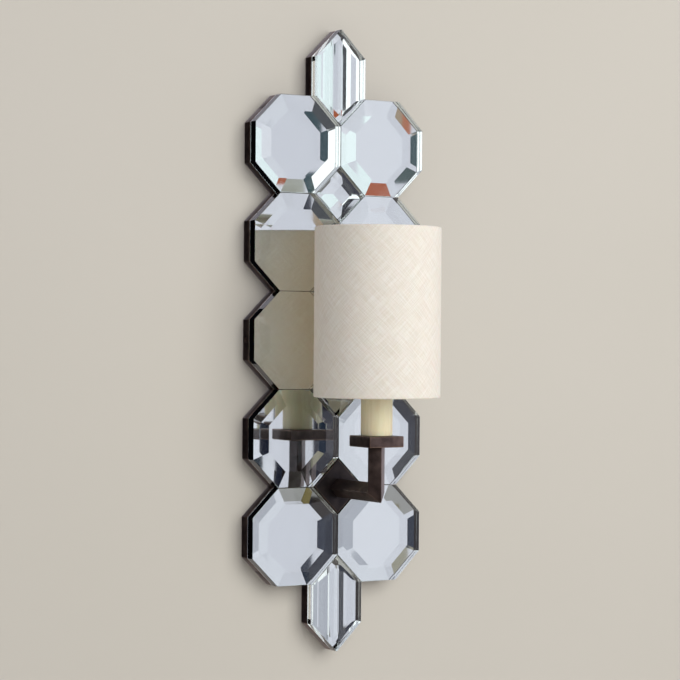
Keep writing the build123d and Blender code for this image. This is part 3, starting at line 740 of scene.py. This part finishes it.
# ---- crystals --------------------------------
@dataclass
class CrystalField:
    """Fifteen crystals, silvered behind: ten octagons, three squares and two points."""

    arris: float = 0.3 * MM
    back_gap: float = 0.04 * MM         # keeps the polished backs off the silver
    octagon_bevel: float = 14 * MM
    octagon_rise: float = 2.2 * MM
    square_step: float = 6 * MM
    square_rise: float = 2.3 * MM
    square_table: float = 13.4 * MM
    arris_segments: int = 2
    arris_angle: float = 25.0           # facets meet at less than this and stay sharp
    facet_angle: float = 3.0            # facets that meet at more than this look flat

    def facet(self, bm: BMesh, face: BMFace, width: float, rise: float) -> None:
        """Cuts a bevel of a width and a rise round a face, which stays as its table."""
        bmesh.ops.inset_region(bm, faces=[face], thickness=width, depth=rise, use_even_offset=True)

    def prism(self, bm: BMesh, girdle: float) -> BMFace:
        """Raises the one face of a mesh into a prism.

        Args:
            bm: Mesh that holds a flat outline.
            girdle: Height of the prism's straight side.

        Returns:
            Its top face.
        """
        bm.faces.ensure_lookup_table()
        if bm.faces[0].normal.z > 0:
            bmesh.ops.reverse_faces(bm, faces=bm.faces)
        made = bmesh.ops.extrude_face_region(bm, geom=[bm.faces[0]])["geom"]
        moved = [item for item in made if isinstance(item, BMVert)]
        bmesh.ops.translate(bm, verts=moved, vec=(0, 0, girdle))
        bmesh.ops.recalc_face_normals(bm, faces=bm.faces)
        return max(bm.faces, key=lambda face: face.calc_center_median().z)

    def stand(self, bm: BMesh, node: str) -> None:
        """Softens the outer arrises, stands the crystal up and puts it where its node is.

        Args:
            bm: Mesh of the crystal, lying on its back.
            node: Name of its CAD node.
        """
        soften(bm, self.arris, self.arris_segments, self.arris_angle)
        low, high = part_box(node)
        bmesh.ops.transform(bm, matrix=STAND_UP, verts=bm.verts)
        place = Vector(((low.x + high.x) / 2, high.y - self.back_gap, (low.z + high.z) / 2))
        bmesh.ops.translate(bm, verts=bm.verts, vec=place)

    def girdle(self, node: str, rises: float) -> float:
        """Returns the straight side left in a node's thickness under the facets' rises."""
        low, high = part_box(node)
        return high.y - low.y - self.back_gap - rises

    def octagon(self, node: str) -> Object:
        """Cuts an octagonal crystal with one broad bevel round a flat table.

        Args:
            node: Name of its CAD node.

        Returns:
            The finished piece.
        """
        low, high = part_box(node)
        bm = bmesh.new()
        radius = (high.x - low.x) / 2 / math.cos(math.pi / 8)
        bmesh.ops.create_circle(bm, cap_ends=True, radius=radius, segments=8,
                                matrix=Matrix.Rotation(math.pi / 8, 4, "Z"))
        top = self.prism(bm, self.girdle(node, self.octagon_rise))
        self.facet(bm, top, self.octagon_bevel, self.octagon_rise)
        self.stand(bm, node)
        return make_piece(f"{node}_cut", bm, CRYSTAL, [node], self.facet_angle)

    def square(self, node: str) -> Object:
        """Cuts a square crystal that stands on its corner, stepped up to a small table.

        Args:
            node: Name of its CAD node.

        Returns:
            The finished piece.
        """
        low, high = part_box(node)
        bm = bmesh.new()
        half = (high.x - low.x) / 2
        bmesh.ops.create_circle(bm, cap_ends=True, radius=half, segments=4)
        second = half / math.sqrt(2) - self.square_step - self.square_table / 2
        full = high.y - low.y - self.back_gap - self.square_rise
        table_rise = full - self.straight_side()
        top = self.prism(bm, self.straight_side())
        self.facet(bm, top, self.square_step, self.square_rise)
        self.facet(bm, max(bm.faces, key=lambda f: f.calc_center_median().z), second, table_rise)
        self.stand(bm, node)
        return make_piece(f"{node}_cut", bm, CRYSTAL, [node], self.facet_angle)

    def straight_side(self) -> float:
        """Returns the girdle that every crystal shares, read off an octagon."""
        return self.girdle("octagon_crystal_1_left", self.octagon_rise)

    def point(self, node: str) -> Object:
        """Softens the outer arrises of a pointed crystal, whose facets its node already has.

        Args:
            node: Name of its CAD node.

        Returns:
            The finished piece.
        """
        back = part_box(node)[1].y
        bm = merged_copy(node)
        for vert in bm.verts:
            vert.co.y = min(vert.co.y, back - self.back_gap)
        soften(bm, self.arris, self.arris_segments, self.arris_angle)
        return make_piece(f"{node}_cut", bm, CRYSTAL, [node], self.facet_angle)

    def build(self) -> Iterator[Object]:
        """Builds the crystals and their silver in the order of their names.

        Yields:
            Every crystal and every silvered back.
        """
        makers = {"octagon_crystal": self.octagon, "square_crystal": self.square,
                  "pointed_crystal": self.point}
        for node in sorted(frame["nodes"]):
            for start, maker in makers.items():
                if node.startswith(start):
                    yield maker(node)
            if node.endswith("mirror_backs"):
                yield Softened(SILVERING, 0.0).build(node)


# ---- plate, arm and wall side ----------------
@dataclass
class BronzeWork:
    """Scalloped plate with its edge wall, boss, arm, post, pan and fixing screws."""

    # The boss gets the darker bronze: painted shade for its recess between the crystals.
    recess_shaded: tuple[str, ...] = ("arm_boss",)
    polished: tuple[str, ...] = ("back_plate", "plate_rim_left", "plate_rim_right", "plate_rim_top",
                                 "plate_rim_bottom", "arm_tube", "post_tube", "drip_pan")
    screws: tuple[str, ...] = ("left_fixing_screw", "right_fixing_screw")
    arris: float = 0.25 * MM
    screw_arris: float = 0.12 * MM
    segments: int = 3
    angle: float = 28.0                 # edges sharper than this are softened

    def build(self) -> Iterator[Object]:
        """Builds the boss in its painted recess shade, then the polished and the small pieces in turn.

        Yields:
            Every bronze piece.
        """
        groups = ((self.recess_shaded, RECESS_SHADED_BRONZE, self.arris), (self.polished, BRONZE, self.arris),
                  (self.screws, BRONZE, self.screw_arris))
        for nodes, finish, arris in groups:
            for node in nodes:
                yield Softened(finish, arris, self.segments, self.angle).build(node)


@dataclass
class WallSide:
    """Bracket, connector, wires and the fixings that the plate hides."""

    finishes: dict[str, tuple[Finish, float]] = field(default_factory=lambda: {
        "wall_bracket": (ZINC, 0.2 * MM), "stem_washer": (ZINC, 0.08 * MM), "stem_nut": (ZINC, 0.3 * MM),
        "riser_nut": (ZINC, 0.3 * MM), "arm_stem": (ZINC, 0.1 * MM), "holder_riser": (ZINC, 0.1 * MM),
        "earth_screw": (BRASS, 0.15 * MM), "terminal_block": (NYLON, 0.2 * MM),
        "live_wire": (BROWN_PVC, 0.08 * MM), "neutral_wire": (BLUE_PVC, 0.08 * MM),
        "earth_wire": (EARTH_SLEEVE, 0.08 * MM), "adhesive_pads": (SILICONE, 0.1 * MM)})

    def build(self) -> Iterator[Object]:
        """Yields every piece on the wall side."""
        for node, (finish, width) in self.finishes.items():
            yield Softened(finish, width).build(node)


# ---- candle ----------------------------------
@dataclass
class CandleStem:
    """Candle sleeve over a moulded lamp holder with its screw shell and contact."""

    sleeve_wall: float = 1.4 * MM
    lip: float = 0.45 * MM
    lip_segments: int = 4
    ring_step: float = 4 * MM
    steps: int = 96

    def sleeve(self) -> Object:
        """Turns the candle tube and rounds its lips.

        Returns:
            The finished piece.
        """
        bm = tube("candle_sleeve", self.sleeve_wall, self.ring_step, self.steps)
        soften(bm, self.lip, self.lip_segments)
        return make_piece("candle_sleeve_moulded", bm, IVORY, ["candle_sleeve"])

    def build(self) -> Iterator[Object]:
        """Builds the candle from the outside in.

        Yields:
            The sleeve, the holder, its shell and its contact.
        """
        yield self.sleeve()
        yield Softened(BAKELITE, 0.25 * MM).build("lamp_holder_body")
        yield Softened(BRASS, 0.08 * MM).build("holder_screw_shell")
        yield Softened(BRASS, 0.08 * MM).build("holder_contact")


@dataclass
class Bulb:
    """Candle-shaped filament bulb with a small Edison cap."""

    pitch: float = 2.82 * MM
    thread_depth: float = 0.55 * MM
    cap_wall: float = 0.6 * MM
    thread_start: float = 0.5 * MM      # above the cap's foot
    thread_end: float = 2.0 * MM        # below the cap's top
    ring_step: float = 0.2 * MM
    steps: int = 72

    def cap(self) -> Object:
        """Turns the metal cap and rolls its thread.

        Returns:
            The finished piece.
        """
        _, low, high = span("bulb_cap")
        bm = tube("bulb_cap", self.cap_wall, self.ring_step, self.steps)
        cut_thread(bm, self.pitch, self.thread_depth, low + self.thread_start, high - self.thread_end)
        return make_piece("bulb_cap_rolled", bm, BRASS, ["bulb_cap"], 60)

    def build(self) -> Iterator[Object]:
        """Builds the cap, the glass parts and what they hold.

        Yields:
            Every piece of the bulb.
        """
        yield self.cap()
        yield Softened(BULB_GLASS, 0.0).build("bulb_glass")
        yield Softened(BULB_GLASS, 0.15 * MM).build("bulb_stem")
        yield Softened(BAKELITE, 0.15 * MM).build("bulb_insulator")
        yield Softened(BRASS, 0.2 * MM).build("bulb_contact")
        yield Softened(PHOSPHOR, 0.15 * MM).build("bulb_filaments")


# ---- shade -----------------------------------
@dataclass
class Shade:
    """Linen drum: cloth rolled over two wire rings, with a stiff lining and a clip for the bulb."""

    cloth: float = 0.45 * MM
    hem: float = 3.0 * MM               # cloth that runs down inside the ring
    overlap: float = 8.0 * MM           # cloth lapped over itself at the seam
    columns: int = 288
    rows: int = 40
    bend: float = 1.1 * MM              # radius of the cloth's turn over a ring
    bend_steps: int = 4
    slack: float = 0.10 * MM            # how far the cloth strays from a true cylinder
    slack_size: float = 40 * MM
    slack_scale: float = 2.1
    lap_reach: float = 1.5              # in overlaps: where the lower layer starts to sink
    lap_sink: float = 0.9               # in cloths: how far it sinks

    def path(self) -> list[tuple[float, float]]:
        """Works out the cloth's line in section, from inside the lower ring to inside the upper one.

        Returns:
            Radius and height pairs in metres.
        """
        radius, low, high = span("shade_fabric")
        ring_outer, ring_low, ring_high = span("shade_top_ring")
        wire = ring_high - ring_low
        outside = radius - self.cloth / 2
        inside = ring_outer - wire - self.cloth / 2
        top = high - self.cloth / 2
        bend = self.bend
        turns = [math.pi / 2 * index / self.bend_steps for index in range(1, self.bend_steps + 1)]
        half = [(inside, top - bend - self.hem), (inside, top - bend)]
        half += [(inside + bend * (1 - math.cos(a)), top - bend + bend * math.sin(a)) for a in turns]
        half.append((outside - bend, top))
        half += [(outside - bend + bend * math.sin(a), top - bend + bend * math.cos(a)) for a in turns]
        middle = (low + high) / 2
        lower = [(r, 2 * middle - z) for r, z in half]
        wall = heights(lower[-1][1], half[-1][1], (high - low) / self.rows)
        return lower + [(outside, z) for z in wall[1:-1]] + half[::-1]

    def cloth_piece(self) -> Object:
        """Bends the linen round from a flat rectangle and laps it at the back.

        Returns:
            The finished sheet.
        """
        path = self.path()
        lengths = [0.0]
        for (r0, z0), (r1, z1) in zip(path, path[1:]):
            lengths.append(lengths[-1] + math.hypot(r1 - r0, z1 - z0))
        radius = span("shade_fabric")[0] - self.cloth / 2
        width = 2 * math.pi * radius + self.overlap
        bm = bmesh.new()
        layer = bm.loops.layers.uv.new("weave")
        bmesh.ops.create_grid(bm, x_segments=self.columns, y_segments=len(path) - 1, size=0.5)
        flat = {vert: (vert.co.x + 0.5, round((vert.co.y + 0.5) * (len(path) - 1))) for vert in bm.verts}
        for face in bm.faces:
            for loop in face.loops:
                across, row = flat[loop.vert]
                loop[layer].uv = (across * width, lengths[row])
        centre = candle_axis()
        for vert, (across, row) in flat.items():
            turn = math.pi / 2 + (across - 0.5) * width / radius - math.pi
            r, z = path[row]
            lapped = self.cloth if (1 - across) * width < self.overlap * self.lap_reach else 0.0
            spot = Vector((math.cos(turn), math.sin(turn), z / self.slack_size))
            r += self.slack * noise.noise(spot * self.slack_scale) - lapped * self.lap_sink
            vert.co = centre + Vector((r * math.cos(turn), r * math.sin(turn), z))
        bmesh.ops.recalc_face_normals(bm, faces=bm.faces)
        made = make_piece("shade_linen", bm, LINEN, ["shade_fabric"], 60)
        thick = made.modifiers.new("cloth", "SOLIDIFY")
        thick.thickness = self.cloth
        thick.offset = 0.0
        return made

    def build(self) -> Iterator[Object]:
        """Builds the shade from the outside in.

        Yields:
            The cloth, the lining, the rings, the arms and the clip.
        """
        yield self.cloth_piece()
        yield Softened(LINING, 0.0).build("shade_lining")
        for node in ("shade_top_ring", "shade_bottom_ring", "clip_arms"):
            yield Softened(ENAMEL, 0.0).build(node)
        yield Softened(NICKEL, 0.12 * MM).build("bulb_clip")


# ---- studio ----------------------------------
@dataclass(frozen=True)
class WallPaint(Finish):
    """Flat pale wall paint with a trace of roller texture; from behind it isn't there."""

    title: str = "wall_paint"
    pale: str = "#cdcbc5"
    warm: str = "#c7c5bd"
    glow: float = 0.0

    def dress(self, tree: NodeTree, shader: Node) -> None:
        """Clouds the paint very slowly and lets the reverse side through.

        Args:
            tree: The material's nodes.
            shader: Its main shader.
        """
        self.colour(tree, shader, clouds(tree, 500 * MM, detail=2), self.pale, self.warm)
        self.relief(tree, shader, clouds(tree, 1.6 * MM), 0.05 * MM, 0.25)
        self.set_plain(shader, Roughness=0.85, Specular_IOR_Level=0.3, Emission_Strength=self.glow)
        shader.inputs["Emission Color"].default_value = linear(self.pale)
        reverse = add_node(tree, "ShaderNodeNewGeometry").outputs["Backfacing"]
        clear = add_node(tree, "ShaderNodeBsdfTransparent").outputs[0]
        mixed = add_node(tree, "ShaderNodeMixShader", {0: reverse, 1: shader.outputs[0], 2: clear})
        tree.links.new(mixed.outputs[0], tree.nodes["Material Output"].inputs["Surface"])


# Pale floor that glows a little, for the light that the rest of a room would throw on it.
FLOOR_PAINT = WallPaint("floor_paint", "#dedbd4", "#d6d2ca", 0.2)


@dataclass
class Card:
    """A plain panel that only polished surfaces see, placed by its bearing from the wall light.

    Bearings are degrees from straight ahead of the wall towards +X, and heights are in metres.
    """

    bearings: tuple[float, float]
    heights: tuple[float, float]
    colour: str
    strength: float = 1.0
    distance: float = 1.6

    def build(self, index: int) -> Object:
        """Builds the panel.

        Args:
            index: Its place in the list, for its name.

        Returns:
            The panel.
        """
        bm = bmesh.new()
        ends = [math.radians(b) for b in self.bearings]
        low, high = self.heights
        feet = [Vector((math.sin(a) * self.distance, -math.cos(a) * self.distance, low)) for a in ends]
        tops = [foot + Vector((0, 0, high - low)) for foot in reversed(feet)]
        bm.faces.new([bm.verts.new(corner) for corner in feet + tops])
        paint = bpy.data.materials.new(f"card_{index}")
        paint.use_nodes = True
        tree = paint.node_tree
        glow = add_node(tree, "ShaderNodeEmission", {"Color": linear(self.colour),
                                                     "Strength": self.strength})
        tree.links.new(glow.outputs[0], tree.nodes["Material Output"].inputs["Surface"])
        made = make_object(f"card_{index}", bm, paint)
        made.visible_camera = made.visible_diffuse = made.visible_shadow = False
        return made


@dataclass
class Lamp:
    """A soft square light that faces a point, by default the middle of the wall light."""

    name: str
    place: tuple[float, float, float]
    size: float
    power: float
    colour: str
    aim: tuple[float, float, float] = (0, 0, 0)

    def build(self) -> Object:
        """Builds the light, which no view and no mirror shows.

        Returns:
            The light.
        """
        data = bpy.data.lights.new(self.name, "AREA")
        data.size = self.size
        data.energy = self.power
        data.color = linear(self.colour)[:3]
        made = put_in_scene(self.name, data)
        made.location = self.place
        ray = Vector(self.aim) - Vector(self.place)
        made.rotation_euler = ray.to_track_quat("-Z", "Y").to_euler()
        made.visible_camera = made.visible_glossy = made.visible_transmission = False
        return made


@dataclass
class Studio:
    """Pale wall and floor, soft light from the right, plain panels for the mirrors, and the camera."""

    camera_place: tuple[float, float, float] = (-0.99688, -1.68921, 0.00618)
    yaw: float = 30.872
    pitch: float = -0.168
    roll: float = 0.447
    lens: float = 117.6
    floor_height: float = -1.3
    ambient: str = "#d0cdd6"
    ambient_seen: float = 1.22
    ambient_light: float = 0.45
    wall_gap: float = 0.3 * MM
    wall_size: float = 4.0
    floor_size: float = 6.0
    # The crystals throw light back on the shade; paths through them are too rare to do it here.
    lamps: list[Lamp] = field(default_factory=lambda: [
        Lamp("soft_key", (0.45, -2.1, 0.70), 2.0, 44, "#fffbf4"),
        Lamp("rear_fill", (0.4, 2.0, 0.5), 1.6, 16, "#fff4e4"),
        Lamp("mirror_bounce", (0, -0.028, 0.03), 0.15, 0.020, "#ffddb4", (0, -1, 0.03)),
    ])
    cards: list[Card] = field(default_factory=lambda: [
        Card((-178, -50), (-1.2, 1.2), "#1a1a1f"),
        Card((-50, -12), (-0.50, 0.10), "#2d2724"),
        Card((-50, -12), (0.10, 0.60), "#ffffff", 1.5),
        Card((-40, 40), (-1.3, -0.76), "#4a423b"),
        Card((-40, 40), (0.90, 1.5), "#ffffff", 1.6),
        Card((8, 21.5), (-0.75, -0.22), "#1d2230"),
        Card((21.5, 22.9), (-0.36, -0.22), "#1d2230"),
        Card((21.5, 25.2), (-0.75, -0.46), "#2b2624"),
        Card((8, 22.9), (-0.22, 0.22), "#33333c"),
        Card((8, 20.4), (0.36, 0.75), "#26262d"),
        Card((8, 20.4), (0.22, 0.36), "#ffffff", 1.5),
        Card((20.4, 22.9), (0.02, 0.26), "#4a4644"),
        Card((20.4, 22.9), (0.26, 0.75), "#ffffff", 1.5),
        Card((22.9, 25.6), (0.22, 0.36), "#24424a"),
        Card((22.9, 25.6), (0.47, 0.75), "#24424a"),
        Card((22.9, 25.2), (-0.36, 0.0), "#1f2738"),
        Card((25.2, 26.0), (0.02, 0.22), "#a9927a"),
        Card((26.0, 26.5), (0.02, 0.22), "#b8643a"),
        Card((25.2, 26.5), (-0.24, -0.05), "#9c9482"),
        Card((25.2, 26.5), (-0.75, -0.47), "#83754e"),
        Card((26.9, 29.6), (0.47, 0.9), "#a9a69c"),
        Card((31.6, 34.8), (0.48, 0.60), "#b4572c", 1.0, 1.5),
        Card((25.6, 28.2), (0.45, 0.62), "#3c4f4e"),
        Card((27.5, 31.4), (-0.165, -0.02), "#20222f", 1.0, 0.59),
        Card((30.7, 60), (-0.9, 0.9), "#dcd9e1", 1.22),
        Card((35.5, 60), (-0.75, -0.24), "#c6c4ce", 1.0, 1.55),
        Card((36.0, 60), (0.24, 0.9), "#e6edee", 1.35, 1.55),
        Card((45.5, 60), (-0.9, -0.36), "#ffffff", 1.3, 1.5),
    ])

    def surface(self, name: str, finish: Finish, size: float, matrix: Matrix) -> Object:
        """Builds a large flat surface of the set.

        Args:
            name: Name of the surface.
            finish: What it is made of.
            size: Half its side in metres.
            matrix: Its place and turn.

        Returns:
            The surface.
        """
        bm = bmesh.new()
        bmesh.ops.create_grid(bm, x_segments=1, y_segments=1, size=size, matrix=matrix)
        made = make_object(name, bm, finish.material())
        return made

    def world(self) -> None:
        """Surrounds the set with even light, stronger in what polished surfaces see."""
        made = bpy.data.worlds.new("studio")
        made.use_nodes = True
        tree = made.node_tree
        bounce = add_node(tree, "ShaderNodeLightPath").outputs["Is Diffuse Ray"]
        strength = between(tree, bounce, self.ambient_seen, self.ambient_light)
        sky = add_node(tree, "ShaderNodeBackground", {"Color": linear(self.ambient), "Strength": strength})
        tree.links.new(sky.outputs[0], tree.nodes["World Output"].inputs["Surface"])
        bpy.context.scene.world = made

    def camera(self) -> None:
        """Adds the camera, turned by its yaw, pitch and roll."""
        yaw, pitch, roll = (math.radians(a) for a in (self.yaw, self.pitch, self.roll))
        ahead = Vector((math.sin(yaw) * math.cos(pitch), math.cos(yaw) * math.cos(pitch), math.sin(pitch)))
        level = Vector((math.cos(yaw), -math.sin(yaw), 0.0))
        upright = level.cross(ahead)
        right = math.cos(roll) * level + math.sin(roll) * upright
        up = math.cos(roll) * upright - math.sin(roll) * level
        data = bpy.data.cameras.new("camera")
        data.lens = self.lens
        made = put_in_scene("camera", data)
        turn = Matrix((right, up, -ahead)).transposed().to_4x4()
        made.matrix_world = Matrix.Translation(self.camera_place) @ turn
        bpy.context.scene.camera = made

    def build(self) -> None:
        """Builds the set, the lights and the camera."""
        self.camera()
        wall = Matrix.Translation((0, self.wall_gap, 0)) @ STAND_UP
        made = self.surface("wall", WallPaint(), self.wall_size, wall)
        made.visible_shadow = made.visible_glossy = False
        floor = Matrix.Translation((0, 0, self.floor_height))
        self.surface("floor", FLOOR_PAINT, self.floor_size, floor)
        for lamp in self.lamps:
            lamp.build()
        self.world()
        for index, card in enumerate(self.cards):
            card.build(index)
        bpy.context.scene.view_settings.view_transform = "Standard"


def main() -> None:
    """Builds every sub-assembly and the studio, and reports each piece."""
    logging.basicConfig(level=logging.INFO, format="%(message)s", stream=sys.stdout)
    Studio().build()
    for assembly in (CrystalField(), BronzeWork(), WallSide(), CandleStem(), Bulb(), Shade()):
        for made in assembly.build():
            LOG.info("%s: %s, %d faces", type(assembly).__name__, made.name, len(made.data.polygons))


if __name__ == "__main__":
    main()
